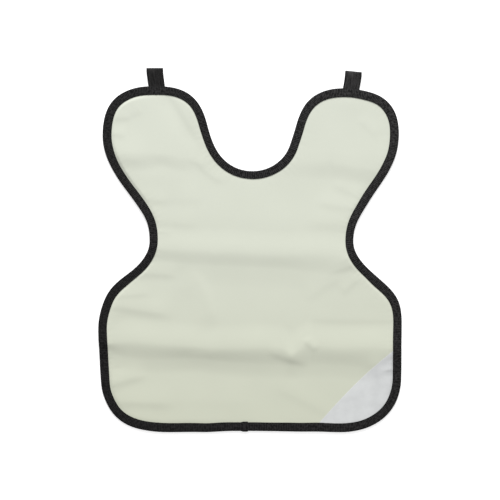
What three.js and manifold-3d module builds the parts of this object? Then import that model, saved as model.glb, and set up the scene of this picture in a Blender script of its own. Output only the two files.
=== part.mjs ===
// A bib-shaped x-ray shielding apron, lying face up: a layered panel bound all round with folded tape,
// two hanging loops sewn behind the shoulders, and a bare white patch in one corner of the hem.
// Millimetres. +X is to the right of the face, +Y runs from the hem to the shoulders, and +Z is up out of
// the face. The origin is on the surface that the apron lies on, under the middle of its box.
import * as THREE from "three";
import { mergeVertices } from "three/addons/utils/BufferGeometryUtils.js";
import Module from "manifold-3d";

const wasm = await Module();
wasm.setup();

// Driving dimensions
const SEAT_GAP = 0.3; // clearance between pieces that are sewn to each other
const PANEL_THICKNESS = 2.2;
const TAPE_THICKNESS = 1;
const TAPE_LEG = 16.5; // how far the folded binding reaches in over the face and over the back
const NOSE_WALL = 1.5; // the binding's wall round the panel's edge, fuller than the flat tape
const LABEL_THICKNESS = 1;
const LABEL_TUCK = 9.5; // how far the label runs in under the binding
const LOOP_WIDTH = 32.5;
const LOOP_TUCK = 14; // how far a loop's sewn ends run in under the binding
const LOOP_OUTER_RADIUS = 4.2; // of the bight at the loop's top
const LOOP_FLAT_END = 1; // how far past the binding's edge a loop's upper leg stays flat

// The bound edge: landmarks from the neck down the right side, along the hem and up the left side.
// Heading is the way the edge runs there, in degrees from +X. Fullness swells the curve to the next landmark.
const EDGE = [
  { at: "neck_bottom", x: 2, y: 158, heading: 0, fullness: 1 },
  { at: "right_neck_side", x: 81, y: 211, heading: 71, fullness: 1 },
  { at: "right_neck_rim", x: 94, y: 252, heading: 74, fullness: 1.15 },
  { at: "right_shoulder_top", x: 188, y: 326, heading: 0, fullness: 1.18 },
  { at: "right_shoulder_side", x: 300, y: 237, heading: -90, fullness: 1 },
  { at: "right_arm_start", x: 273, y: 148, heading: -122, fullness: 1 },
  { at: "right_arm_end", x: 241, y: 100, heading: -122, fullness: 1 },
  { at: "right_waist", x: 208, y: 17, heading: -90, fullness: 1 },
  { at: "right_hip_start", x: 241, y: -41, heading: -43, fullness: 1 },
  { at: "right_hip_end", x: 264, y: -62, heading: -43, fullness: 1.35 },
  { at: "right_hip", x: 305.5, y: -150, heading: -90, fullness: 1 },
  { at: "right_hem_side", x: 305, y: -258, heading: -91, fullness: 1.1 },
  { at: "right_hem_corner", x: 182, y: -367.6, heading: 180, fullness: 1 },
  { at: "lap_end", x: -4.2, y: -365, heading: 180, fullness: 1 },
  { at: "lap_start", x: -4.8, y: -365, heading: 180, fullness: 1 },
  { at: "lap_full", x: -13, y: -365, heading: 180, fullness: 1 },
  { at: "lap_tail", x: -20, y: -365, heading: 180, fullness: 1 },
  { at: "left_hem_corner", x: -165, y: -367.5, heading: 180, fullness: 1.15 },
  { at: "left_hem_side", x: -300.5, y: -268, heading: 94, fullness: 1 },
  { at: "left_hip", x: -305.5, y: -160, heading: 90, fullness: 1 },
  { at: "left_hip_end", x: -263, y: -62, heading: 42, fullness: 1 },
  { at: "left_hip_start", x: -238, y: -41, heading: 42, fullness: 1 },
  { at: "left_waist", x: -202, y: 17, heading: 90, fullness: 1.1 },
  { at: "left_arm_end", x: -234, y: 100, heading: 125, fullness: 1 },
  { at: "left_arm_start", x: -264, y: 141, heading: 124, fullness: 1 },
  { at: "left_shoulder_side", x: -297, y: 231, heading: 90, fullness: 1.27 },
  { at: "left_shoulder_top", x: -186, y: 330, heading: 0, fullness: 1.2 },
  { at: "left_neck_rim", x: -88, y: 257, heading: -75, fullness: 1 },
  { at: "left_neck_side", x: -77, y: 221, heading: -68, fullness: 1 },
];

// The binding's lapped end: the landmarks where it lies over the other end, how far it stands up there, and
// how much wider it is on each side
const LAP = { covers: ["lap_start", "lap_full"], rise: 0.8, overhang: 1.5 };

// The soft cross folds: ridges that die away towards the hem and, usually more slowly, towards the shoulders
const FOLDS = [
  { at: "skirt", y: -185, lean: 0, height: 7, hemReach: 24, shoulderReach: 45 },
  { at: "waist", y: -9, lean: -0.045, height: 6.5, hemReach: 50, shoulderReach: 38 },
  { at: "shoulders", y: 192, lean: -0.045, height: 3, hemReach: 22, shoulderReach: 26 },
];
const FOLD_CREST_RADIUS = 8;
const FLAT_BELOW = 0.12; // fold tails lower than this lie flat
const SHOULDER_RISE = { from: 225, to: 298 }; // where the shoulders climb onto the loops' sewn ends

// The label's inner edge, bowed a little towards the middle of the apron
const LABEL_EDGE = {
  hemEnd: { x: 134, y: -356 },
  bow: { x: 216, y: -260 },
  sideEnd: { x: 297, y: -196 },
};
const LABEL_LIFT = { from: -24, to: -8 }; // where the binding climbs onto the label, outside that edge
const LABEL_STEP = 1; // from the binding's climb to the edge of the label under it

// The loops: where each comes out from behind the binding, its length from there and its lean to the right
const LOOPS = [
  { name: "left_hang_loop", x: -189, y: 329.5, length: 38.3, leanDegrees: -4.3 },
  { name: "right_hang_loop", x: 204, y: 324, length: 37.2, leanDegrees: 7.4 },
];

// Steps and counts of the facets
const COARSE_STEP = 20;
const FINE_STEP = 8;
const FINE_WITHIN = 26; // of a fold's crest
const ROW_STEP = { least: 6.5, growth: 0.32, most: 36 };
const COLUMN_STEP = 78;
const FIELD = { x: 312, hem: -384, shoulders: 346 }; // a field a little larger than the panel
const LABEL_EDGE_FACETS = 6;
const LOOP_LEG_FACETS = 8;
const LOOP_BIGHT_FACETS = 5; // odd, so that one facet faces straight down the loop
const PRISM_HEIGHT = 60;

// Heights of the layers above the bed of the folds, and insets from the bound edge
const panelLow = TAPE_THICKNESS + SEAT_GAP;
const panelHigh = panelLow + PANEL_THICKNESS;
const bindingHigh = panelHigh + SEAT_GAP + TAPE_THICKNESS;
const labelLow = panelHigh + SEAT_GAP;
const labelHigh = labelLow + LABEL_THICKNESS;
const panelInset = NOSE_WALL + SEAT_GAP;
const labelInset = TAPE_LEG - LABEL_TUCK;
const loopUpperLow = TAPE_THICKNESS + SEAT_GAP;
const loopUpperHigh = loopUpperLow + TAPE_THICKNESS;
const loopStack = loopUpperHigh + SEAT_GAP;

const smoothStep = THREE.MathUtils.smoothstep;

// Height of the bed that the folds make, at a place on the apron
function bedHeight(x, y) {
  const folds = FOLDS.reduce((height, fold) => {
    const along = y - fold.y - fold.lean * x;
    const away = Math.hypot(along, FOLD_CREST_RADIUS) - FOLD_CREST_RADIUS;
    const reach = along < 0 ? fold.hemReach : fold.shoulderReach;
    return height + fold.height * Math.exp(-away / reach);
  }, 0);
  const rise = loopStack * smoothStep(y, SHOULDER_RISE.from, SHOULDER_RISE.to);
  return Math.max(0, folds - FLAT_BELOW) + rise;
}

// The curve of the bound edge from one landmark to the next: a cubic whose handles would make a circular arc
function edgeCurve(from, to) {
  const start = new THREE.Vector2(from.x, from.y);
  const end = new THREE.Vector2(to.x, to.y);
  const turn = THREE.MathUtils.degToRad(to.heading - from.heading);
  const sweep = Math.max(0.01, Math.abs(Math.atan2(Math.sin(turn), Math.cos(turn))));
  const arcHandle = (2 * Math.tan(sweep / 4)) / (3 * Math.sin(sweep / 2));
  const handle = start.distanceTo(end) * arcHandle * from.fullness;
  const ahead = (landmark, distance) => {
    const angle = THREE.MathUtils.degToRad(landmark.heading);
    return new THREE.Vector2(landmark.x, landmark.y).add(
      new THREE.Vector2(Math.cos(angle), Math.sin(angle)).multiplyScalar(distance),
    );
  };
  return new THREE.CubicBezierCurve(start, ahead(from, handle), ahead(to, -handle), end);
}

function nearFold(x, y) {
  return FOLDS.some((fold) => Math.abs(y - fold.y - fold.lean * x) < FINE_WITHIN);
}

// Stations round the edge: a point, the way inwards from it, and the share of the tape's lap there
function edgeStations() {
  const stations = [];
  EDGE.forEach((from, i) => {
    const curve = edgeCurve(from, EDGE[(i + 1) % EDGE.length]);
    const length = curve.getLength();
    const places = [0];
    for (let place = 0; place < length; ) {
      const { x, y } = curve.getPointAt(place / length);
      place += nearFold(x, y) ? FINE_STEP : COARSE_STEP;
      places.push(place);
    }
    const stretch = length / places.at(-1);
    places.slice(0, -1).forEach((place, k) => {
      const share = (place * stretch) / length;
      const tangent = curve.getTangentAt(share);
      stations.push({
        point: curve.getPointAt(share),
        inward: new THREE.Vector2(tangent.y, -tangent.x),
        lap: k === 0 && LAP.covers.includes(from.at) ? 1 : 0,
      });
    });
  });
  return stations;
}

const stations = edgeStations();

// A closed geometry from points and the triangles between them
function closedGeometry(points, triangles) {
  const geometry = new THREE.BufferGeometry();
  geometry.setAttribute("position", new THREE.Float32BufferAttribute(points, 3));
  geometry.setIndex(triangles);
  return geometry;
}

function solidOf(geometry) {
  const bare = geometry.clone();
  bare.deleteAttribute("normal");
  bare.deleteAttribute("uv");
  const merged = mergeVertices(bare);
  return new wasm.Manifold(
    new wasm.Mesh({
      numProp: 3,
      vertProperties: new Float32Array(merged.attributes.position.array),
      triVerts: new Uint32Array(merged.index.array),
    }),
  );
}

function geometryOf(solid) {
  const { vertProperties, triVerts } = solid.getMesh();
  return closedGeometry(Array.from(vertProperties), Array.from(triVerts));
}

// Rows of the field, closest at the folds. Between folds a row's lean passes from one fold's to the next.
function fieldRows() {
  const knots = [
    { y: FIELD.hem, lean: 0 },
    ...FOLDS,
    { y: FIELD.shoulders, lean: 0 },
  ];
  const rows = [];
  knots.slice(1).forEach((to, i) => {
    const from = knots[i];
    const places = [];
    const span = to.y - from.y;
    for (let place = 0; place < span; ) {
      places.push(place);
      const nearest = Math.min(i === 0 ? Infinity : place, i === knots.length - 2 ? Infinity : span - place);
      place += Math.min(ROW_STEP.least + ROW_STEP.growth * nearest, ROW_STEP.most);
    }
    places.forEach((place) => {
      const share = place / span;
      rows.push({ y: from.y + place, lean: from.lean + (to.lean - from.lean) * share });
    });
  });
  rows.push(knots.at(-1));
  return rows;
}

// A slab over the whole field that follows the folds, between two heights above the bed
function foldedSlab(low, high) {
  const rows = fieldRows();
  const columns = 1 + Math.ceil((2 * FIELD.x) / COLUMN_STEP);
  const points = [];
  [high, low].forEach((height) =>
    rows.forEach((row) => {
      for (let column = 0; column < columns; column++) {
        const x = FIELD.x * ((2 * column) / (columns - 1) - 1);
        const y = row.y + row.lean * x;
        points.push(x, y, height + bedHeight(x, y));
      }
    }),
  );
  const under = rows.length * columns;
  const triangles = [];
  const quad = (a, b, c, d) => triangles.push(a, b, c, a, c, d);
  const wall = (a, b) => quad(a + under, b + under, b, a);
  for (let row = 0; row < rows.length - 1; row++) {
    for (let column = 0; column < columns - 1; column++) {
      const corner = row * columns + column;
      const ring = [corner, corner + 1, corner + 1 + columns, corner + columns];
      quad(...ring);
      quad(...ring.map((place) => place + under).reverse());
    }
    wall((row + 1) * columns, row * columns);
    wall((row + 1) * columns - 1, (row + 2) * columns - 1);
  }
  for (let column = 0; column < columns - 1; column++) {
    wall(column, column + 1);
    wall(under - columns + column + 1, under - columns + column);
  }
  return solidOf(closedGeometry(points, triangles));
}

// A tall prism on a flat outline, to cut the folded slabs with
function tallPrism(outline) {
  const options = { depth: PRISM_HEIGHT, bevelEnabled: false };
  const geometry = new THREE.ExtrudeGeometry(new THREE.Shape(outline), options);
  return solidOf(geometry.translate(0, 0, -PRISM_HEIGHT / 2));
}

function edgePrism(inset) {
  return tallPrism(stations.map(({ point, inward }) => point.clone().addScaledVector(inward, inset)));
}

// The corner beyond the label's inner edge, grown by a margin towards the middle of the apron
function labelCorner(margin) {
  const { hemEnd, bow, sideEnd } = LABEL_EDGE;
  const shift = margin * Math.SQRT1_2;
  const at = ({ x, y }) => new THREE.Vector2(x - shift, y + shift);
  const edge = new THREE.QuadraticBezierCurve(at(hemEnd), at(bow), at(sideEnd));
  return [
    ...edge.getPoints(LABEL_EDGE_FACETS),
    new THREE.Vector2(FIELD.x + TAPE_LEG, at(sideEnd).y),
    new THREE.Vector2(FIELD.x + TAPE_LEG, FIELD.hem),
    new THREE.Vector2(at(hemEnd).x, FIELD.hem),
  ];
}

// How far the binding is lifted where it runs over the label
function labelLift(x, y) {
  const { hemEnd, sideEnd } = LABEL_EDGE;
  const along = new THREE.Vector2(sideEnd.x - hemEnd.x, sideEnd.y - hemEnd.y).normalize();
  const inside = (x - hemEnd.x) * along.y - (y - hemEnd.y) * along.x;
  return (LABEL_THICKNESS + SEAT_GAP) * smoothStep(inside, LABEL_LIFT.from, LABEL_LIFT.to);
}

function apronPanel() {
  return foldedSlab(panelLow, panelHigh).intersect(edgePrism(panelInset));
}

function cornerLabel() {
  const patch = foldedSlab(labelLow, labelHigh).intersect(edgePrism(labelInset));
  return patch.intersect(tallPrism(labelCorner(0)));
}

// The tape's outer form: a half-round nose at the edge and flat legs on both faces, carried round the edge
function bindingForm() {
  const nose = bindingHigh / 2;
  const lean = nose * (1 - Math.SQRT1_2);
  const profile = [
    { inset: TAPE_LEG, height: 0, face: false },
    { inset: TAPE_LEG, height: bindingHigh, face: true },
    { inset: labelInset - LABEL_STEP, height: bindingHigh, face: true },
    { inset: nose, height: bindingHigh, face: false },
    { inset: lean, height: bindingHigh - lean, face: false },
    { inset: 0, height: nose, face: false },
    { inset: lean, height: lean, face: false },
    { inset: nose, height: 0, face: false },
  ];
  const points = [];
  stations.forEach(({ point, inward, lap }) =>
    profile.forEach(({ inset, height, face }) => {
      const side = inset < TAPE_LEG / 2 ? -1 : 1;
      const reach = inset + side * lap * LAP.overhang;
      const { x, y } = point.clone().addScaledVector(inward, reach);
      const lift = (face ? labelLift(x, y) : 0) + (height > nose ? lap * LAP.rise : 0);
      points.push(x, y, height + lift + bedHeight(x, y));
    }),
  );
  const triangles = [];
  const turns = profile.length;
  stations.forEach((_, i) => {
    const here = i * turns;
    const next = ((i + 1) % stations.length) * turns;
    for (let j = 0; j < turns; j++) {
      const k = (j + 1) % turns;
      triangles.push(here + j, next + j, next + k, here + j, next + k, here + k);
    }
  });
  return solidOf(closedGeometry(points, triangles));
}

// The binding keeps clear of the panel and of the label that it wraps
function edgeBinding() {
  const panelRoom = foldedSlab(panelLow - SEAT_GAP, panelHigh + SEAT_GAP).intersect(edgePrism(NOSE_WALL));
  const labelRoom = foldedSlab(labelLow - SEAT_GAP, labelHigh + SEAT_GAP)
    .intersect(edgePrism(labelInset - SEAT_GAP))
    .intersect(tallPrism(labelCorner(SEAT_GAP)));
  return bindingForm().subtract(panelRoom).subtract(labelRoom);
}

// One loop of tape, seen from its side: both ends flat under the binding, the upper one rising to the bight
function loopProfile(length) {
  const bight = length - LOOP_OUTER_RADIUS;
  const upperLeg = (height, base) => {
    const half = bight / 2;
    return new THREE.CubicBezierCurve(
      new THREE.Vector2(bight, height),
      new THREE.Vector2(half, height),
      new THREE.Vector2(half, base),
      new THREE.Vector2(LOOP_FLAT_END, base),
    ).getPoints(LOOP_LEG_FACETS);
  };
  const turn = (radius) => {
    const arc = new THREE.EllipseCurve(bight, LOOP_OUTER_RADIUS, radius, radius, -Math.PI / 2, Math.PI / 2);
    return arc.getPoints(LOOP_BIGHT_FACETS);
  };
  const innerRadius = LOOP_OUTER_RADIUS - TAPE_THICKNESS;
  const outside = [...turn(LOOP_OUTER_RADIUS), ...upperLeg(2 * LOOP_OUTER_RADIUS, loopUpperHigh).slice(1)];
  const inside = [...turn(innerRadius), ...upperLeg(LOOP_OUTER_RADIUS + innerRadius, loopUpperLow).slice(1)];
  return [
    new THREE.Vector2(-LOOP_TUCK, 0),
    ...outside,
    new THREE.Vector2(-LOOP_TUCK, loopUpperHigh),
    new THREE.Vector2(-LOOP_TUCK, loopUpperLow),
    ...inside.reverse(),
    new THREE.Vector2(-LOOP_TUCK, TAPE_THICKNESS),
  ];
}

// The loop's profile is drawn with x along the loop and y up, so it is turned to stand on the floor
function hangLoop({ length }) {
  const geometry = new THREE.ExtrudeGeometry(new THREE.Shape(loopProfile(length)), {
    depth: LOOP_WIDTH,
    bevelEnabled: false,
  });
  geometry.translate(0, 0, -LOOP_WIDTH / 2);
  const along = new THREE.Vector3(0, 1, 0);
  const up = new THREE.Vector3(0, 0, 1);
  return geometry.applyMatrix4(new THREE.Matrix4().makeBasis(along, up, new THREE.Vector3(1, 0, 0)));
}

const cover = new THREE.MeshStandardMaterial({ color: 0xdadece, roughness: 0.6, metalness: 0 });
const blackTape = new THREE.MeshStandardMaterial({ color: 0x2a2929, roughness: 0.85, metalness: 0 });
const loopTape = new THREE.MeshStandardMaterial({ color: 0x262525, roughness: 0.85, metalness: 0 });
const whiteSatin = new THREE.MeshStandardMaterial({ color: 0xd6d6d8, roughness: 0.45, metalness: 0 });

function namedMesh(name, geometry, material) {
  const mesh = new THREE.Mesh(geometry, material);
  mesh.name = name;
  return mesh;
}

const apron = new THREE.Group();
apron.add(namedMesh("apron_panel", geometryOf(apronPanel()), cover));
apron.add(namedMesh("edge_binding", geometryOf(edgeBinding()), blackTape));
apron.add(namedMesh("corner_label", geometryOf(cornerLabel()), whiteSatin));
LOOPS.forEach((loop) => {
  const mesh = namedMesh(loop.name, hangLoop(loop), loopTape);
  mesh.position.set(loop.x, loop.y, 0);
  mesh.rotation.z = THREE.MathUtils.degToRad(-loop.leanDegrees);
  apron.add(mesh);
});

// The whole apron is centred over the origin
const box = new THREE.Box3().setFromObject(apron, true);
const middle = box.getCenter(new THREE.Vector3());
const centred = new THREE.Group();
apron.position.set(-middle.x, -middle.y, -box.min.z);
centred.add(apron);

export default centred;
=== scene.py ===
"""Looks of an x-ray apron that lies face up: a pale layered panel bound in black tape, a tape loop at each
shoulder and a bare satin patch in one hem corner.

Shapes are worked out in millimetres, and mesh_object turns them into metres. The edge is cut as the solids'
edge is and wavers by up to 1.4 mm, as sewn edges do. The folds lie where the solids' folds do, with sways,
creases and puckers of their own."""

from collections import namedtuple

import bpy
import numpy as np
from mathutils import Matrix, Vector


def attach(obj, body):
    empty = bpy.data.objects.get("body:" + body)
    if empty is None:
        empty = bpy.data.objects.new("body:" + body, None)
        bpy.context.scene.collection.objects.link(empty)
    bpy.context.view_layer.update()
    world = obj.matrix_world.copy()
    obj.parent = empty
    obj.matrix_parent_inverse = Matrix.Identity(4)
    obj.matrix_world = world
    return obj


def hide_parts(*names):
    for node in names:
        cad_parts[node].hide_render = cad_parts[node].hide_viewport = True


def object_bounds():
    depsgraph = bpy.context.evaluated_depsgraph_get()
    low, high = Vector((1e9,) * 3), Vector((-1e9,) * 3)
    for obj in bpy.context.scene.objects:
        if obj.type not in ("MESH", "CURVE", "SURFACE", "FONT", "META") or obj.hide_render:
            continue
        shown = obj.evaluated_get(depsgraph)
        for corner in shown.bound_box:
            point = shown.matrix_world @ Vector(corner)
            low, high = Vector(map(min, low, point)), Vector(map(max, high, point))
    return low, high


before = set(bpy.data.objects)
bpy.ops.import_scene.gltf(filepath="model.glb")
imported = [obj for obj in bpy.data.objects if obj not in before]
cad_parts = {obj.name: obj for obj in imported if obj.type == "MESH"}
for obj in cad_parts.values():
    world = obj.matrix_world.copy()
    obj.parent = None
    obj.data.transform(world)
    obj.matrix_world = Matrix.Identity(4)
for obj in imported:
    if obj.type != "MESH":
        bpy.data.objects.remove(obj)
cad_low, cad_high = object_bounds()

MM = 0.001
BODY = "root"
RUN = "run"  # name of the UV map of tape and thread, which gives places along and across them

# Thicknesses and widths of the cloth and tape
PANEL_THICKNESS = 2.2
SEAT_GAP = 0.3
TAPE_THICKNESS = 1.0
TAPE_LEG = 16.5  # reach of the tape's section, before it is stretched to its reach at a place
NOSE_RADIUS = 2.4
NOSE_BULGE = 0.7  # how far the folded tape stands out past the bound edge
PANEL_INSET = 1.8  # of the panel's rim inside the bound edge
LABEL_THICKNESS = 0.25
LABEL_INSET = 7.0  # of the patch's outer rim
LOOP_WIDTH = 33.4
LOOP_TUCK = 14.0  # how far a loop's two ends run in under the shoulder
LOOP_OUTER_RADIUS = 4.2

# Heights above the bed of the folds
PANEL_LOW = TAPE_THICKNESS + SEAT_GAP
PANEL_HIGH = PANEL_LOW + PANEL_THICKNESS
SEAM_DIP = 0.3  # how far the stitches press the panel's face down
SEAM_DIP_REACH = 5
TAPE_SEAT = 0.04  # air between the panel and what is sewn on it

Landmark = namedtuple("Landmark", "at x y heading fullness tape")
# The bound edge, clockwise seen from above. Heading is the way it runs, in degrees from +X, fullness swells
# the curve to the next landmark, and tape is how far the binding reaches in over the face there.
EDGE = [
    Landmark("neck_bottom", 2, 158, 0, 1, 15.5),
    Landmark("right_neck_side", 81, 211, 71, 1, 16.5),
    Landmark("right_neck_rim", 94, 252, 74, 1.15, 16.5),
    Landmark("right_shoulder_top", 188, 326, 0, 1.18, 17.5),
    Landmark("right_shoulder_side", 300, 237, -90, 1, 17.5),
    Landmark("right_arm_start", 273, 148, -122, 1, 17),
    Landmark("right_arm_end", 241, 100, -122, 1, 17),
    Landmark("right_waist", 208, 17, -90, 1, 15.5),
    Landmark("right_hip_start", 241, -41, -43, 1, 16),
    Landmark("right_hip_end", 264, -62, -43, 1.35, 17.5),
    Landmark("right_hip", 305.5, -150, -90, 1, 16.5),
    Landmark("right_hem_side", 305, -258, -91, 1.1, 17),
    Landmark("right_hem_corner", 182, -367.6, 180, 1, 17.5),
    Landmark("lap_end", -4.2, -365, 180, 1, 17),
    Landmark("lap_start", -4.8, -365, 180, 1, 17),
    Landmark("lap_full", -13, -365, 180, 1, 17),
    Landmark("lap_tail", -20, -365, 180, 1, 17),
    Landmark("left_hem_corner", -165, -367.5, 180, 1.15, 18),
    Landmark("left_hem_side", -300.5, -268, 94, 1, 17),
    Landmark("left_hip", -305.5, -160, 90, 1, 17),
    Landmark("left_hip_end", -263, -62, 42, 1, 17),
    Landmark("left_hip_start", -238, -41, 42, 1, 16),
    Landmark("left_waist", -202, 17, 90, 1.1, 16),
    Landmark("left_arm_end", -234, 100, 125, 1, 16.5),
    Landmark("left_arm_start", -264, 141, 124, 1, 16.5),
    Landmark("left_shoulder_side", -297, 231, 90, 1.27, 17.5),
    Landmark("left_shoulder_top", -186, 330, 0, 1.2, 17),
    Landmark("left_neck_rim", -88, 257, -75, 1, 16),
    Landmark("left_neck_side", -77, 221, -68, 1, 15),
]
LEAST_SWEEP = 0.01  # radians that a straight stretch is taken to turn by
LAP_RISE = 0.8
LAP_OVERHANG = 1.5

Waver = namedtuple("Waver", "after past inwards")
# Places where the sewn edge wavers inwards from those curves, so far past a landmark
WAVERS = [
    Waver("right_neck_rim", 50, -1),
    Waver("right_shoulder_top", 45, 1),
    Waver("right_shoulder_side", 40, -0.7),
    Waver("right_arm_end", 55, 1),
    Waver("right_hip_end", 25, -0.8),
    Waver("right_hip", 45, 1),
    Waver("right_hem_corner", 45, 0.8),
    Waver("lap_tail", 65, -1.2),
    Waver("left_hem_corner", 80, -0.8),
    Waver("left_hem_corner", 145, 1.2),
    Waver("left_hem_side", 70, 0.8),
    Waver("left_hip", 80, -1.4),
    Waver("left_hip_start", 15, 1.2),
    Waver("left_waist", 45, 1.4),
    Waver("left_shoulder_side", 135, -0.9),
    Waver("left_neck_side", 35, 0.9),
    Waver("left_neck_side", 95, -1),
]
WAVER_WIDTH = 27

Fold = namedtuple("Fold", "at crest crest_lean foot foot_lean height run middle")
# Soft cross folds. Each climbs from its foot, on the hem's side, to its crest and falls away over its run
# beyond. Crest and foot are heights up the middle line with their leans, and middle is the share of the
# fold's height that is left at the middle line.
FOLDS = [
    Fold("skirt", -192, -0.02, -260, -0.04, 4.7, 330, 1),
    Fold("skirt", -194, -0.02, -232, -0.04, 2.4, 50, 1),
    Fold("waist", -4.5, -0.038, -78, -0.038, 2.0, 170, 1),
    Fold("waist", -4.5, -0.038, -37, -0.038, 1.9, 48, 1),
    Fold("chest", 72, -0.038, 14, -0.042, 0.6, 120, 1),
    Fold("shoulders", 186, -0.053, 149, -0.053, 2.1, 110, 0.3),
]
FOLD_MIDDLE = (60, 220)  # how far out the middle's share ends and the full height begins
SHOULDER_RISE = (200, 310, 2.6)  # from, to, and how far the shoulders lie up on the loops' ends

Sway = namedtuple("Sway", "fold line x shift wide")
# Places where a fold's crest or foot strays from its line
SWAYS = [
    Sway("skirt", "crest", 84, -14, 13),
    Sway("skirt", "crest", 118, 7, 8),
    Sway("skirt", "crest", 137, 3, 28),
    Sway("skirt", "crest", -240, 5, 45),
    Sway("skirt", "crest", -60, -5, 70),
    Sway("skirt", "crest", 250, 4, 40),
    Sway("skirt", "foot", -310, 20, 45),
    Sway("skirt", "foot", -110, 6, 60),
    Sway("skirt", "foot", 160, 5, 60),
    Sway("skirt", "foot", 300, 16, 36),
    Sway("waist", "crest", -170, 1, 60),
    Sway("waist", "crest", -70, -3, 9),
    Sway("waist", "crest", 40, -2, 50),
    Sway("waist", "crest", 145, 2.5, 50),
    Sway("waist", "foot", -175, 5, 50),
    Sway("waist", "foot", 150, -8, 50),
    Sway("shoulders", "crest", 161, 7, 9),
    Sway("shoulders", "crest", 250, -7, 50),
    Sway("shoulders", "foot", 250, -10, 50),
    Sway("shoulders", "crest", -140, -5, 20),
    Sway("shoulders", "foot", -178, 8, 20),
    Sway("shoulders", "foot", -235, -6, 25),
]

Crease = namedtuple("Crease", "x y to_x to_y bow height width")
# Wrinkles that run from one place to another. Each is steep on the right of its run and gentle on the left,
# and those that begin or end at the binding run in under it.
CREASES = [
    # Left shoulder
    Crease(-101, 198, -182, 331, 0, -1.1, 9),
    Crease(-320, 300, -196, 302, 0, 1.2, 28),
    Crease(-290, 265, -234, 271, 0, 0.7, 7),
    Crease(-292, 237, -246, 232, 0, 0.6, 7),
    Crease(-244, 271, -216, 284, 0, 0.3, 6),
    Crease(-330, 194, -196, 184, 0, 0.9, 15),
    Crease(-112, 187, -44, 134, -6, 0.65, 8),
    Crease(-128, 184, -88, 172, 0, 0.3, 6),
    # Right shoulder
    Crease(216, 270, 264, 227, 0, 0.45, 8),
    Crease(164, 138, 232, 106, 0, 0.6, 10),
    # Chest, at the arms
    Crease(-300, 165, -110, 148, 0, 2.4, 45),
    Crease(-245, 110, -156, 98, 0, 0.75, 9),
    Crease(-190, 107, -86, 105, 0, 0.45, 13),
    Crease(-228, 67, -90, 50, 0, 0.65, 12),
    Crease(-214, 38, -150, 36, 0, 0.4, 7),
    Crease(124, 101, 244, 79, 0, 0.75, 10),
    Crease(104, 60, 240, 53, 0, 0.7, 15),
    # Hips
    Crease(-240, -45, -140, -50, 2, 1.0, 10),
    Crease(-74, -166, -132, -34, -13, 1.3, 16),
    Crease(-310, -94, -190, -85, 0, 0.6, 7),
    Crease(-316, -102, -144, -130, -2, 1.4, 11),
    Crease(-330, -128, -250, -132, 0, 0.35, 6),
    Crease(-316, -148, -258, -140, 0, 0.4, 5),
    Crease(-316, -160, -266, -151, 0, 0.3, 4),
    Crease(150, -46, 250, -16, 0, 0.8, 9),
    Crease(108, -102, 192, -48, 4, 0.6, 11),
    Crease(184, -92, 224, -52, 3, 0.65, 7),
    Crease(130, -100, 330, -104, 0, 0.5, 26),
    Crease(96, -137, 320, -141, 0, 0.5, 9),
    # Skirt
    Crease(30, -198, 126, -230, -3.5, 1.1, 8),
    Crease(107, -178, 136, -205, 0, 0.8, 5),
    Crease(-60, -208, -130, -215, 0, 0.3, 7),
    Crease(-316, -238, -252, -229, 0, 0.4, 6),
    Crease(-324, -284, -200, -248, 2, 1.5, 11),
    Crease(-340, -268, -130, -274, 0, 0.45, 22),
    Crease(-304, -306, -140, -311, 3, 1.35, 12),
    Crease(-200, -298, 30, -304, 0, 0.5, 18),
    Crease(40, -268, 184, -340, 0, 0.6, 11),
    Crease(216, -242, 320, -196, 0, 0.6, 8),
    Crease(240, -254, 320, -230, 0, 0.55, 7),
    Crease(330, -234, 232, -244, 0, 1.9, 22),
]
CREASE_SKEW = 2.2  # how much wider the gentle side is
CREASE_FADE = 0.3  # share of a crease's length that each end fades over
RELIEF_FADE = 5  # how far from the binding creases and swells gain their full height

Swell = namedtuple("Swell", "pitch phase size heading")
# Broad unevenness of a heavy cloth that was folded
SWELLS = [
    Swell(210, 0.4, 0.2, 70),
    Swell(137, 1.9, 0.12, 108),
    Swell(92, 3.1, 0.06, 35),
    Swell(71, 5.0, 0.04, 152),
]

Ripple = namedtuple("Ripple", "pitch phase size")
LEG_WANDER = [Ripple(171, 0, 0.15), Ripple(64, 1, 0.12)]
PUCKER_WANDER = [Ripple(83, 0, 2.2), Ripple(31, 0, 1.1)]  # in radians of a pucker
PUCKER_PITCH = 10.5
PUCKER_HEIGHT = 0.18
PUCKER_REACH = 9
PUCKER_FADE = 2.5  # how far from the binding the puckers gain their full height

# The patch's inner edge: a bowed line from the hem to the side
LABEL_HEM_END = (134, -356)
LABEL_BOW = (216, -260)
LABEL_SIDE_END = (297, -196)
LABEL_LIFT = (-24, -8)  # where the binding climbs onto the patch, across that edge
LABEL_RIM = 0.25  # share of the patch's thickness at its rim
PatchCrease = namedtuple("PatchCrease", "x y lean height width start full")
LABEL_CREASE = PatchCrease(276, -242, 0.1, 0.75, 3.2, 258, 284)

Loop = namedtuple("Loop", "piece node x y length lean tilt")
# Lean is the way from the foot of a loop to its bight, clockwise from +Y, and tilt the way that the tape
# lies across it. A loop leans most at its foot and runs straight up at its bight.
LOOPS = [
    Loop("left_loop_tape", "left_hang_loop", -188.4, 329.5, 38.3, -5.5, 0),
    Loop("right_loop_tape", "right_hang_loop", 204, 324, 37.2, 7.4, 5.6),
]
LOOP_REST = 1.0  # how far out from its foot a loop's upper leg begins to rise from the lower one
LOOP_WANDER = 0.25  # how far the tape wanders to each side
LOOP_WANDER_RUN = 8.0  # length of tape for a radian of that

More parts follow.
